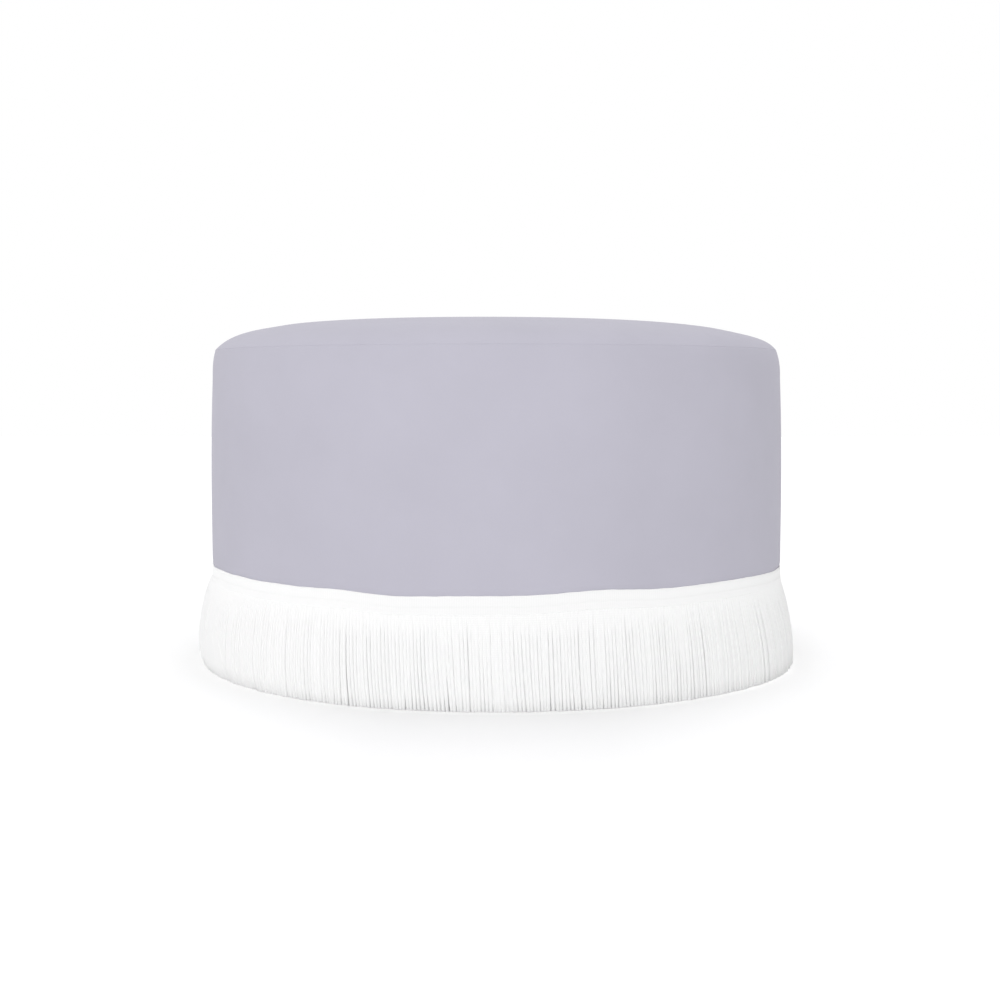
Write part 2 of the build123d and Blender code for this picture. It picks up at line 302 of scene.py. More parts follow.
def makeFelt(name, colour):
    f = Finish(name, roughness=0.97, Sheen_Weight=0.3, Sheen_Roughness=0.6, Specular_IOR_Level=0.15)
    hairs = f.speckle(f.stretched(f.place(), (1, 4, 2)), 500, 5, 0.75)
    return f.wear(f.shades(hairs, (0.3, tone(colour, 0.7)), (0.7, tone(colour, 1.2))), 0.93 + 0.05 * hairs,
                  f.bump(hairs, 0.5, 0.0006))


def makeSteel(name, colour, roughness):
    f = Finish(name, roughness=roughness, Metallic=1.0)
    brush = f.speckle(f.stretched(f.place(), (1, 1, 8)), 300, 4)
    return f.wear(f.shades(brush, (0.3, tone(colour, 0.82)), (0.7, colour)), roughness - 0.08 + 0.2 * brush,
                  f.bump(brush, 0.08, 0.0002))


finishes = {
    "cover_fabric": makeCoverCloth(),
    "fringe_heading": makeWhiteBraid(),
    "fringe_cord": makeWhiteCord(),
    "foam": makeFoam("cushionFoam", linear(232, 222, 190)),
    "wadding": makeFibre("polyesterWadding", linear(240, 239, 233)),
    "hessian": makeWeave("juteHessian", linear(181, 154, 110), 0.0016),
    "webbing": makeWeave("strapWebbing", linear(140, 126, 100), 0.0011, 0.6),
    "dust_cloth": makeNonWoven("dustCloth", linear(34, 34, 37)),
    "felt": makeFelt("greyFelt", linear(108, 104, 100)),
    "plywood": makePlywood("plywood", linear(205, 172, 124)),
    "pine": makeWood("pine", linear(216, 182, 132), 22),
    "foot_plastic": makePlastic("footPlastic", linear(30, 30, 32)),
    "screw_steel": makeSteel("zincScrew", linear(196, 194, 182), 0.38),
    "staple_steel": makeSteel("stapleWire", linear(202, 203, 206), 0.32),
}
slotOf = {part["node"]: part["material_slot"] for part in frame["record"]["subparts"]}
for node, cadPiece in frame["nodes"].items():
    cadPiece.data.materials.clear()
    cadPiece.data.materials.append(finishes[slotOf[node]])
print("finishes made:", len(finishes))


# Modelling helpers. An outline lies in the XZ plane, as radius and height, and is spun about Z

def startAt(radius, height):
    bm = bmesh.new()
    return bm, bm.verts.new((radius, 0, height))


def runTo(bm, vert, radius, height, cuts=0):
    start, end = vert.co.copy(), Vector((radius, 0, height))
    for step in range(1, cuts + 2):
        vert = bmesh.ops.extrude_vert_indiv(bm, verts=[vert])["verts"][0]
        vert.co = start.lerp(end, step / (cuts + 1))
    return vert


def sweepBy(bm, vert, centre, degrees, steps):
    made = bmesh.ops.spin(
        bm, geom=[vert], cent=(centre[0], 0, centre[1]), axis=(0, 1, 0),
        angle=math.radians(degrees), steps=steps,
    )
    return next(g for g in made["geom_last"] if isinstance(g, bmesh.types.BMVert))


def spinRound(bm, steps, degrees=360):
    whole = degrees == 360
    bmesh.ops.spin(
        bm, geom=bm.verts[:] + bm.edges[:], cent=(0, 0, 0), axis=(0, 0, 1),
        angle=math.radians(degrees), steps=steps, use_merge=whole,
    )
    bmesh.ops.remove_doubles(bm, verts=bm.verts[:], dist=1e-6)
    bmesh.ops.recalc_face_normals(bm, faces=bm.faces[:])


def smoothStep(x):
    x = max(0.0, min(1.0, x))
    return x * x * (3 - 2 * x)


def finishPiece(name, bm, slot, nodes, modifiers=()):
    mesh = bpy.data.meshes.new(name)
    bm.to_mesh(mesh)
    bm.free()
    mesh.polygons.foreach_set("use_smooth", [True] * len(mesh.polygons))
    mesh.materials.append(finishes[slot])
    piece = bpy.data.objects.new(name, mesh)
    scene.collection.objects.link(piece)
    for kind, settings in modifiers:
        modifier = piece.modifiers.new(kind.title(), kind)
        for label, value in settings.items():
            setattr(modifier, label, value)
    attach(piece, "root")
    if nodes:
        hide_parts(*nodes)
    return piece


def thick(amount, offset=-1.0):
    return ("SOLIDIFY", {"thickness": amount, "offset": offset, "use_even_offset": True})


# Outline of the cover, shared by the pieces that touch it
form = {
    "radius": 380.0 * mm, "top": 445.0 * mm, "seamRadius": 373.5 * mm, "seamHeight": 407.5 * mm,
    "crownDrop": 9.0 * mm, "shoulder": 87.0 * mm, "seamUneven": 0.9 * mm, "unevenPower": 10,
    "rollStart": 371.5 * mm, "rollPower": 2.6, "belly": 382.3 * mm, "bellyHeight": 184.0 * mm,
    "lean": 3.95 * mm, "waist": 380.6 * mm, "waistTop": 138.0 * mm, "waistBottom": 126.0 * mm,
    "hem": 33.6 * mm, "cloth": 1.0 * mm, "foamTop": 426.0 * mm, "foamEdge": 392.0 * mm,
    "foamBottom": 336.0 * mm, "wall": 361.0 * mm, "base": 34.6 * mm,
}


def crownArcs(top, rim):
    # flat middle arc about a centre on the axis, then the shoulder arc that meets it
    jointRadius = form["seamRadius"] - form["shoulder"]
    flat = (jointRadius**2 + form["crownDrop"] ** 2) / (2 * form["crownDrop"])
    turn = math.asin(jointRadius / flat)
    joint = Vector((jointRadius, top - form["crownDrop"]))
    normal = Vector((math.sin(turn), math.cos(turn)))
    reach = Vector(rim) - joint
    shoulder = -reach.length_squared / (2 * reach.dot(normal))
    centre = joint - shoulder * normal
    end = math.asin((rim[0] - centre[0]) / shoulder)
    return {
        "flatCentre": (0, top - flat), "flatTurn": math.degrees(turn), "shoulderCentre": tuple(centre),
        "shoulderTurn": math.degrees(end - turn),
    }


def rollShare(height):
    # 0 where the side starts to roll in, 1 at the seam
    share = (height - form["rollStart"]) / (form["seamHeight"] - form["rollStart"])
    return max(0.0, min(1.0, share)) ** form["rollPower"]


def sideRadius(height):
    # the braid draws the side in, it swells above that and leans in towards the top
    swell = smoothStep((height - form["waistBottom"]) / (form["waistTop"] - form["waistBottom"]))
    up = max(0.0, min(height, form["rollStart"]) - form["bellyHeight"])
    lean = form["lean"] * (up / (form["rollStart"] - form["bellyHeight"])) ** 2
    straight = form["waist"] + (form["belly"] - form["waist"]) * swell - lean
    return straight + (form["seamRadius"] - straight) * rollShare(height)


def easeCorner(vert):
    # the seam lies further in on the right than on the left
    radius = max(vert.co.xy.length, mm)
    inward = form["seamUneven"] * vert.co.x / radius * rollShare(vert.co.z)
    vert.co.xy *= 1 - inward * min(1.0, radius / form["seamRadius"]) ** form["unevenPower"] / radius


# Seat pad: the top panel of the cover over its wadding, blown up against the seam by the cloth solver
seatPad = {
    "steps": 168, "rimIn": 0.1 * mm, "rimUp": 0.6 * mm, "lip": 1.0 * mm, "lipLean": 45.0, "lipTurn": 110.0,
    "skirtOut": 4.0 * mm, "skirtUp": 2.5 * mm, "foamGap": 0.4 * mm,
    "lookUp": 0.2, "rimBand": 2.0 * mm,  # what belongs to the crown: slope, and depth under the seam
    "puff": 6.0 * mm, "pressure": 4.0, "stretch": 40, "bending": 0.8, "frames": 20, "spare": 0.4 * mm,
    "freeTo": 0.985, "heldFrom": 0.999, "rimSlack": 0.1 * mm,  # the first two in shares of the seam's radius
    "settle": 0.25,  # how far the solver's shape may leave the measured crown
    # crown over the even one, then powers of the dome and of its edge and the edge's share, left and right
    "rise": 0.8 * mm, "dome": (5.6, 4.5), "edge": (24.0, 43.0), "edgeShare": (0.31, 0.21),
}


def crownHeight(share, side):
    # height over the rim as a share of the crown's, side -1 on the left and 1 on the right
    toRight = (side + 1) / 2
    dome, edge, part = (left + (right - left) * toRight
                        for left, right in (seatPad["dome"], seatPad["edge"], seatPad["edgeShare"]))
    return (1 - part) * (1 - share**dome) + part * (1 - share**edge)


def makeSeatPad():
    rim = (form["seamRadius"] - seatPad["rimIn"], form["seamHeight"] + seatPad["rimUp"])
    over = crownArcs(form["top"], rim)
    under = crownArcs(form["foamTop"] + seatPad["foamGap"], (form["wall"], form["foamEdge"]))
    bm, v = startAt(0, form["top"])
    v = sweepBy(bm, v, over["flatCentre"], over["flatTurn"], 20)
    v = sweepBy(bm, v, over["shoulderCentre"], over["shoulderTurn"], 30)
    lean = math.radians(seatPad["lipLean"])
    lipCentre = (rim[0] - seatPad["lip"] * math.sin(lean), rim[1] - seatPad["lip"] * math.cos(lean))
    v = sweepBy(bm, v, lipCentre, seatPad["lipTurn"], 5)
    v = runTo(bm, v, form["wall"] + seatPad["skirtOut"], form["foamEdge"] + seatPad["skirtUp"], 2)
    v = runTo(bm, v, form["wall"], form["foamEdge"])
    v = sweepBy(bm, v, under["shoulderCentre"], -under["shoulderTurn"], 6)
    sweepBy(bm, v, under["flatCentre"], -under["flatTurn"], 8)
    spinRound(bm, seatPad["steps"])
    bm.normal_update()
    for vert in bm.verts:
        radius = vert.co.xy.length
        if vert.normal.z > seatPad["lookUp"] and vert.co.z > rim[1] - seatPad["rimSlack"]:
            crown = crownHeight(min(1.0, radius / rim[0]), vert.co.x / max(radius, mm))
            vert.co.z = rim[1] + (form["top"] + seatPad["rise"] - rim[1]) * crown
        easeCorner(vert)
    return finishPiece("seatPad", bm, "cover_fabric", ["cover_top", "seat_wadding"])


def puffSeatPad(piece):
    # slack first: the crown is let down, then pressure lifts it back, with the seam and underside held
    held = piece.vertex_groups.new(name="held")
    lowest = form["seamHeight"] - seatPad["rimBand"]
    aim = []
    for vert in piece.data.vertices:
        aim.append(vert.co.copy())
        weight = 1.0
        share = math.hypot(vert.co.x, vert.co.y) / form["seamRadius"]
        if vert.normal.z > seatPad["lookUp"] and vert.co.z > lowest and share < seatPad["heldFrom"]:
            vert.co.z -= seatPad["puff"] * (1 - share**2)
            weight = smoothStep((share - seatPad["freeTo"]) / (seatPad["heldFrom"] - seatPad["freeTo"]))
        held.add([vert.index], weight, "REPLACE")
    slack = [v.co.copy() for v in piece.data.vertices]
    cloth = piece.modifiers.new("Cloth", "CLOTH")
    cloth.settings.vertex_group_mass = "held"
    cloth.settings.use_pressure = True
    cloth.settings.uniform_pressure_force = seatPad["pressure"]
    cloth.settings.tension_stiffness = seatPad["stretch"]
    cloth.settings.compression_stiffness = seatPad["stretch"]
    cloth.settings.bending_stiffness = seatPad["bending"]
    cloth.settings.effector_weights.gravity = 0
    cloth.point_cache.frame_end = seatPad["frames"]
    for step in range(1, seatPad["frames"] + 1):
        scene.frame_set(step)
    settled = piece.evaluated_get(bpy.context.evaluated_depsgraph_get())
    moves = [settled.data.vertices[k].co - start for k, start in enumerate(slack)]
    piece.modifiers.remove(cloth)
    scene.frame_set(1)
    most = max(move.length for move in moves)
    for vert, start, move, wanted in zip(piece.data.vertices, slack, moves, aim):
        limit = (wanted - start).length + seatPad["spare"]
        blown = start + move * min(1.0, limit / max(move.length, 1e-9))
        vert.co = wanted.lerp(blown, seatPad["settle"])
    print("seat pad puffed, largest move before the cap %.1f mm" % (most / mm))


seatCover = makeSeatPad()
puffSeatPad(seatCover)
finer = seatCover.modifiers.new("Finer", "SUBSURF")
finer.levels = finer.render_levels = 1

# Fringe heading: a woven braid with a rolled edge above and below, sewn on by hand
heading = {
    "steps": 360, "inner": 380.65 * mm, "topOuter": 382.6 * mm, "footOuter": 384.0 * mm,
    "top": 130.0 * mm, "foot": 109.0 * mm, "roll": 0.95 * mm,
    "topTurn": 205.0, "topFrom": (-0.9, 0.43),  # upper roll, started at this place in roll radii
    "footTurn": 150.0, "footLean": 15.0, "footFrom": (0.55, 1.3),
    "groove": 117.5 * mm, "grooveDepth": 0.4 * mm, "grooveHalf": 0.9 * mm, "grooveIn": 0.3 * mm,
    "grooveStep": 0.1 * mm,
    "waver": ((10.0, 0.5 * mm), (24.0, 0.5 * mm)),  # small swings of the sewn edge: number, height
    # places where the braid runs high or low: angle from the front, height, width
    "runs": ((18.5, 3.8, 9.0), (42.0, 1.3, 10.0), (-16.5, -2.4, 6.5), (-29.0, 1.1, 6.0),
             (69.0, -3.2, 9.0), (80.5, -5.0, 6.0), (97.0, -3.2, 14.0), (-74.0, -2.6, 6.0),
             (130.0, 1.5, 14.0), (-130.0, -1.5, 18.0)),
}


def runsAt(runs, x, y):
    # humps and hollows round the object, each with its angle from the front, size and width
    turn = math.degrees(math.atan2(y, x) - frontAngle)
    turn = (turn + 180) % 360 - 180
    return mm * sum(size * math.exp(-(((turn - place) / width) ** 2)) for place, size, width in runs)


def braidRun(x, y):
    # how far the braid is off its level here
    around = Vector((x, y, 0)).normalized()
    waver = sum(height * noise.noise(around * count) for count, height in heading["waver"])
    return runsAt(heading["runs"], x, y) + waver


# Side band: two stretched panels, sewn to each other at the sides and to the pad at the top
sideBand = {
    "steps": 150, "rimOut": 0.2 * mm, "rimDown": 0.6 * mm, "lip": 1.0 * mm, "lipTurn": 100.0,
    "tuck": 6.0 * mm, "tuckSlope": 0.6, "aboveWaist": 6.0 * mm, "belowWaist": 4.0 * mm, "braidReach": 10.0 * mm,
    "hemGap": 0.3 * mm, "corner": 2.0 * mm, "turnIn": 327.0 * mm, "cloth": 0.9 * mm,
    "columns": (1.2 * mm, 3.5 * mm),  # narrow columns of faces beside the side seams
    "seamZone": 0.2 * mm, "seamGap": 0.12 * mm, "seamIn": 0.7 * mm,
    # soft unevenness of the cloth: size, swings per metre, and where it starts
    "easing": 0.35 * mm, "easeAcross": 7, "easeUp": 5, "easeOutside": 375.0 * mm, "easeAbove": 140.0 * mm,
}


def makeBand(name, node, half):
    # half 0 is the back, and half 1 is turned round to the front
    rim = (form["seamRadius"] + sideBand["rimOut"], form["seamHeight"] - sideBand["rimDown"])
    rollStart = Vector((sideRadius(form["rollStart"]), form["rollStart"]))
    rise = Vector(rim) - rollStart
    rollRadius = rise.length_squared / (2 * -rise.x)
    rollCentre = (rollStart.x - rollRadius, rollStart.y)
    rollTurn = math.degrees(math.asin(rise.y / rollRadius))
    lean = math.radians(seatPad["lipLean"])
    lip = sideBand["lip"]
    lipCentre = Vector((rim[0] - lip * math.sin(lean), rim[1] - lip * math.cos(lean)))
    back = lean - math.radians(sideBand["lipTurn"])
    lipStart = lipCentre + lip * Vector((math.sin(back), math.cos(back)))
    bm, v = startAt(lipStart.x - sideBand["tuck"], lipStart.y - sideBand["tuckSlope"] * sideBand["tuck"])
    v = runTo(bm, v, *lipStart, 1)
    v = sweepBy(bm, v, lipCentre, sideBand["lipTurn"], 5)
    v = sweepBy(bm, v, rollCentre, rollTurn, 14)
    bottom = form["hem"] + sideBand["hemGap"]
    corner = sideBand["corner"]
    v = runTo(bm, v, form["waist"], form["waistTop"] + sideBand["aboveWaist"], 26)
    v = runTo(bm, v, form["waist"], form["waistBottom"] - sideBand["belowWaist"], 10)
    v = runTo(bm, v, form["waist"], bottom + corner, 8)
    v = sweepBy(bm, v, (form["waist"] - corner, bottom + corner), 90, 4)
    runTo(bm, v, sideBand["turnIn"], bottom, 4)
    for vert in bm.verts:
        if bottom + corner < vert.co.z < rim[1] and vert.co.x > rim[0]:
            vert.co.x = sideRadius(vert.co.z)
    spinRound(bm, sideBand["steps"], 180)
    for depth in sideBand["columns"]:
        bmesh.ops.bisect_plane(
            bm, geom=bm.verts[:] + bm.edges[:] + bm.faces[:], plane_co=(0, depth, 0), plane_no=(0, 1, 0)
        )
    side = -1 if half else 1
    across, up = sideBand["easeAcross"], sideBand["easeUp"]
    overBraid = form["waistTop"] + sideBand["braidReach"]
    for vert in bm.verts:
        radius = math.hypot(vert.co.x, vert.co.y)
        if radius > form["waist"] and vert.co.z < overBraid:  # follows the braid's run
            vert.co.xy *= sideRadius(vert.co.z - braidRun(side * vert.co.x, side * vert.co.y)) / radius
        if vert.co.y < sideBand["seamZone"]:  # the cut edges turn in to the seam
            vert.co.y = sideBand["seamGap"]
            vert.co.x *= 1 - sideBand["seamIn"] / radius
        elif radius > sideBand["easeOutside"] and vert.co.z > sideBand["easeAbove"]:
            ease = noise.noise(Vector((vert.co.x * across, vert.co.y * across, vert.co.z * up + half)))
            vert.co.xy *= 1 + sideBand["easing"] * ease / radius
    if half:
        bmesh.ops.rotate(bm, verts=bm.verts[:], cent=(0, 0, 0), matrix=Matrix.Rotation(math.pi, 3, "Z"))
    for vert in bm.verts:
        easeCorner(vert)
    bmesh.ops.recalc_face_normals(bm, faces=bm.faces[:])
    outermost = max(bm.faces, key=lambda face: face.calc_center_median().xy.length)
    if outermost.normal.xy.dot(outermost.calc_center_median().xy) < 0:
        bmesh.ops.reverse_faces(bm, faces=bm.faces[:])
    return finishPiece(name, bm, "cover_fabric", [node], [thick(sideBand["cloth"])])


bandFront = makeBand("bandFront", "cover_band_front", 1)
bandBack = makeBand("bandBack", "cover_band_back", 0)
print("cover made")


def makeHeading():
    roll = heading["roll"]
    bm, v = startAt(heading["inner"], heading["foot"] + roll)
    first = v
    v = runTo(bm, v, heading["inner"], heading["top"] - roll, 3)
    topRoll = (heading["topOuter"] - roll, heading["top"] - roll)
    out, up = heading["topFrom"]
    v = runTo(bm, v, topRoll[0] + out * roll, topRoll[1] + up * roll)
    v = sweepBy(bm, v, topRoll, heading["topTurn"], 7)
    middle = (heading["topOuter"] + heading["footOuter"]) / 2 - heading["grooveIn"]
    v = runTo(bm, v, middle, heading["groove"] + heading["grooveHalf"], 3)
    v = runTo(bm, v, middle - heading["grooveDepth"], heading["groove"])
    v = runTo(bm, v, middle + heading["grooveStep"], heading["groove"] - heading["grooveHalf"])
    footRoll = (heading["footOuter"] - roll, heading["foot"] + roll)
    out, up = heading["footFrom"]
    v = runTo(bm, v, footRoll[0] + out * roll, footRoll[1] + up * roll, 3)
    lean = math.radians(heading["footLean"])
    v = runTo(bm, v, footRoll[0] + roll * math.cos(lean), footRoll[1] + roll * math.sin(lean))
    v = sweepBy(bm, v, footRoll, heading["footTurn"], 6)
    bm.edges.new((v, first))
    spinRound(bm, heading["steps"])
    for vert in bm.verts:
        vert.co.z += braidRun(vert.co.x, vert.co.y)
    return finishPiece("fringeHeading", bm, "fringe_heading", ["fringe_heading"])


fringeBraid = makeHeading()

# Fringe cords: three rows of soft twisted cords, hung from behind the heading
fringe = {
    "cords": 560, "rows": 3, "sides": 6, "rings": 8, "ringPower": 1.25, "taper": 0.94, "length": 105.0 * mm,
    "thickness": 2.24 * mm, "widths": (0.92, 1.06), "spacing": 0.05,  # half of it, its spread, uneven steps
    "head": 112.0 * mm, "headFollow": 0.6, "headRadius": 382.2 * mm,
    "headFlat": 0.5, "headWide": 1.45, "headLength": 0.3,  # pressed flat at the head
    "tip": 0.35 * mm, "tipStep": 0.1 * mm, "uneven": 0.5 * mm,
    "rowDepth": 1.8 * mm, "rowHead": 0.1, "leastDeep": 0.3 * mm, "coverGap": 0.1 * mm,
    "tipOut": 12.4 * mm, "belly": 5.0 * mm, "bellyPower": 1.25, "fullLeft": 4.8 * mm, "suddenLeft": 0.5,
    # places where the tips stand further in or out: angle from the front, distance, width
    "tipRuns": ((-1.0, -11.0, 33.0), (60.0, 6.5, 17.0)),
    "bellyRuns": ((0.0, -4.4, 45.0),),  # the same for the belly
    # sideways swing, bow and stand-out of single cords, with the pitch of the noise that groups them
    "lean": 2.8 * mm, "tilt": 5.0 * mm, "stray": 0.3 * mm, "swingPower": 1.5, "bow": 0.6, "bows": 17,
    "clumps": 9, "waves": 18, "waveLean": 0.5, "waveOut": 0.6 * mm, "proud": 0.36 * mm, "looseRight": 1.8,
    "seed": 7,
}


def makeCordShape():
    # a plain six-sided cord of unit length, hanging down from the origin, with a map of its turns
    bm = bmesh.new()
    bmesh.ops.create_circle(bm, segments=fringe["sides"], radius=1)
    ring = bm.edges[:]
    places = [(k / fringe["rings"]) ** fringe["ringPower"] for k in range(fringe["rings"] + 1)]
    for above, below in zip(places, places[1:]):
        made = bmesh.ops.extrude_edge_only(bm, edges=ring)["geom"]
        verts = [g for g in made if isinstance(g, bmesh.types.BMVert)]
        ring = [g for g in made if isinstance(g, bmesh.types.BMEdge) and all(v in verts for v in g.verts)]
        bmesh.ops.translate(bm, verts=verts, vec=(0, 0, above - below))
    bmesh.ops.scale(bm, verts=verts, vec=(fringe["taper"], fringe["taper"], 1))
    bmesh.ops.contextual_create(bm, geom=ring)
    bmesh.ops.recalc_face_normals(bm, faces=bm.faces[:])
    layer = bm.loops.layers.uv.new("turns")
    for face in bm.faces:
        centre = face.calc_center_median()
        middle = math.atan2(centre.y, centre.x)
        for loop in face.loops:
            turn = math.atan2(loop.vert.co.y, loop.vert.co.x)
            near = (turn - middle + math.pi) % (2 * math.pi) - math.pi + middle
            loop[layer].uv = (near / (2 * math.pi), -loop.vert.co.z * fringe["length"])
    mesh = bpy.data.meshes.new("cordShape")
    bm.to_mesh(mesh)
    bm.free()
    return mesh


def makeFringe():
    dice = random.Random(fringe["seed"])
    shape = makeCordShape()
    bm = bmesh.new()
    step = 2 * math.pi / fringe["cords"]
    hung = []
    for row in range(fringe["rows"]):
        for k in range(fringe["cords"]):
            angle = step * (k + 0.5 * row + dice.uniform(-fringe["spacing"], fringe["spacing"]))
            outward = Vector((math.cos(angle), math.sin(angle), 0))
            x, y = outward.xy
            clump = noise.noise(Vector((x * fringe["clumps"], y * fringe["clumps"], row * 4.0)))
            wave = noise.noise(Vector((x * fringe["waves"], y * fringe["waves"], 11 + row)))
            bend = noise.noise(Vector((angle * fringe["bows"], row, 3.3)))
            swing = fringe["lean"] * (clump + fringe["waveLean"] * wave)
            left, right = max(0.0, -x) ** 2, max(0.0, x) ** 2
            loose = 1 + fringe["looseRight"] * right
            bm.from_mesh(shape)
            hung.append({
                "row": row, "outward": outward, "aside": Vector((-y, x, 0)),
                "lean": fringe["tilt"] + swing + dice.gauss(0, fringe["stray"]),
                "bow": fringe["bow"] * fringe["lean"] * bend,
                "out": dice.gauss(0, fringe["proud"]) * loose + fringe["waveOut"] * wave,
                "width": fringe["thickness"] * dice.uniform(*fringe["widths"]),
                "tip": fringe["tip"] - fringe["tipStep"] * row + abs(dice.gauss(0, fringe["uneven"])),
                "head": fringe["head"] + fringe["headFollow"] * braidRun(x, y),
                "tipOut": fringe["tipOut"] + runsAt(fringe["tipRuns"], x, y),
                "belly": fringe["belly"] + fringe["fullLeft"] * left + runsAt(fringe["bellyRuns"], x, y),
                "sudden": 1 - fringe["suddenLeft"] * left,
            })
    count = len(shape.vertices)
    for index, vert in enumerate(bm.verts):
        cord = hung[index // count]
        t = min(1.0, max(0.0, -vert.co.z))
        free = smoothStep(t / fringe["headLength"])
        deep = cord["width"] * (fringe["headFlat"] + (1 - fringe["headFlat"]) * free)
        wide = cord["width"] * (fringe["headWide"] + (1 - fringe["headWide"]) * free)
        swell = max(0.0, math.sin(math.pi * t ** fringe["bellyPower"])) ** cord["sudden"]
        behind = cord["row"] * fringe["rowDepth"] * (fringe["rowHead"] + (1 - fringe["rowHead"]) * free)
        radius = fringe["headRadius"] + cord["tipOut"] * t + cord["belly"] * swell
        radius += cord["out"] * free - behind
        height = cord["head"] + (cord["tip"] - cord["head"]) * t
        if height > form["hem"]:  # pressed flat where the cover leaves no more room
            outer = radius + deep
            room = outer - form["waist"] - fringe["coverGap"]
            deep = min(deep, max(fringe["leastDeep"], room) / 2)
            radius = outer - deep
        swing = cord["lean"] * t ** fringe["swingPower"] + cord["bow"] * math.sin(math.pi * t)
        across = cord["outward"] * (radius + deep * vert.co.x) + cord["aside"] * (swing + wide * vert.co.y)
        vert.co = (across.x, across.y, height)
    bpy.data.meshes.remove(shape)
    nodes = [name for name in frame["nodes"] if name.startswith("fringe_strands")]
    return finishPiece("fringeCords", bm, "fringe_cord", nodes)


fringeCords = makeFringe()
print("fringe made:", fringe["cords"] * fringe["rows"], "cords")


# Filling and underside, hidden from the front
foamBlock = {"steps": 128, "wallGap": 0.3 * mm, "edgeGap": 0.4 * mm, "edge": 3.0 * mm}


def makeFoamBlock():
    outer, edge = form["wall"] - foamBlock["wallGap"], foamBlock["edge"]
    top = crownArcs(form["foamTop"], (outer, form["foamEdge"] - foamBlock["edgeGap"]))
    bm, v = startAt(0, form["foamTop"])
    v = sweepBy(bm, v, top["flatCentre"], top["flatTurn"], 8)
    v = sweepBy(bm, v, top["shoulderCentre"], top["shoulderTurn"], 8)
    v = runTo(bm, v, outer, form["foamBottom"] + edge, 5)
    v = sweepBy(bm, v, (outer - edge, form["foamBottom"] + edge), 90, 3)
    runTo(bm, v, 0, form["foamBottom"], 5)
    spinRound(bm, foamBlock["steps"])
    piece = finishPiece("seatFoam", bm, "foam", ["seat_foam"])
    return piece


wrap = {
    "steps": 160, "wallGap": 0.2 * mm, "baseGap": 0.3 * mm, "topGap": 0.5 * mm, "inside": 1.6,  # in cloths
    "innerRound": 2.0 * mm, "topRound": 6.0 * mm, "footRound": 4.0 * mm,
}


def makeSideWrap():
    inner, outer = form["wall"] + wrap["wallGap"], form["radius"] - 2 * form["cloth"]
    low, high = form["base"] + wrap["baseGap"], form["foamEdge"] - wrap["topGap"]
    small, top, foot = wrap["innerRound"], wrap["topRound"], wrap["footRound"]
    bm, v = startAt(inner, low + small)
    v = runTo(bm, v, inner, high - small, 8)
    v = sweepBy(bm, v, (inner + small, high - small), 90, 3)
    v = runTo(bm, v, outer - top, high)
    v = sweepBy(bm, v, (outer - top, high - top), 90, 5)
    v = runTo(bm, v, outer, low + foot, 30)
    v = sweepBy(bm, v, (outer - foot, low + foot), 90, 4)
    v = runTo(bm, v, inner + small, low)
    sweepBy(bm, v, (inner + small, low + small), 90, 3)
    for vert in bm.verts:  # just inside the cover
        vert.co.x = min(vert.co.x, sideRadius(vert.co.z) - wrap["inside"] * form["cloth"])
    spinRound(bm, wrap["steps"])
    piece = finishPiece("sideWrap", bm, "foam", ["side_wrap"])
    return piece


webbing = {
    "width": 60.0 * mm, "pitch": 110.0 * mm, "count": 4, "thickness": 1.5 * mm, "ring": 332.2 * mm,
    "grip": 349.0 * mm, "ramp": 15.0 * mm, "edgeGap": 2.0 * mm, "sideGap": 0.2 * mm, "curl": 0.08 * mm,
    "cloth": 1.2 * mm, "take": 4.0 * mm,  # length that the interlacing takes up
}


def strapPlace(index):
    return webbing["pitch"] * (index - (webbing["count"] - 1) / 2)


def strapHeight(index, x):
    # over one crossing strap, under the next
    height = 0.0
    for crossing in range(webbing["count"]):
        if (index + crossing) % 2:
            gap = abs(x - strapPlace(crossing)) - webbing["width"] / 2 - webbing["edgeGap"]
            height = max(height, 1 - smoothStep(gap / webbing["ramp"]))
    return height


def makeStrap(index, lengthways):
    side, half = strapPlace(index), webbing["width"] / 2
    reach = math.sqrt(webbing["grip"] ** 2 - (abs(side) + half) ** 2)
    bm = bmesh.new()
    bmesh.ops.create_grid(bm, x_segments=90, y_segments=4, size=1)
    for vert in bm.verts:
        x = vert.co.x * reach
        level = strapHeight(index, x) + 0.5
        curl = webbing["curl"] * (abs(vert.co.y) ** 4)
        height = webbing["ring"] + webbing["thickness"] * level + curl
        vert.co = (x, side + vert.co.y * (half - webbing["sideGap"]), height)
    if lengthways:
        bmesh.ops.rotate(bm, verts=bm.verts[:], cent=(0, 0, 0), matrix=Matrix.Rotation(math.pi / 2, 3, "Z"))
    label = "lengthways" if lengthways else "across"
    piece = finishPiece(f"strap_{label}_{index + 1}", bm, "webbing", [f"webbing_{label}_{index + 1}"],
                        [thick(webbing["cloth"], 0.0)])
    return piece


hessian = {"radius": 356.5 * mm, "height": 335.6 * mm, "sag": 0.0, "cloth": 0.6 * mm, "footHole": None}
dustCloth = {
    "radius": 346.5 * mm, "height": 33.35 * mm, "sag": 0.15 * mm, "cloth": 0.4 * mm, "footHole": 20.0 * mm,
}
ripples = {"count": 14, "share": 0.25}  # how often per metre, and how much of the sag


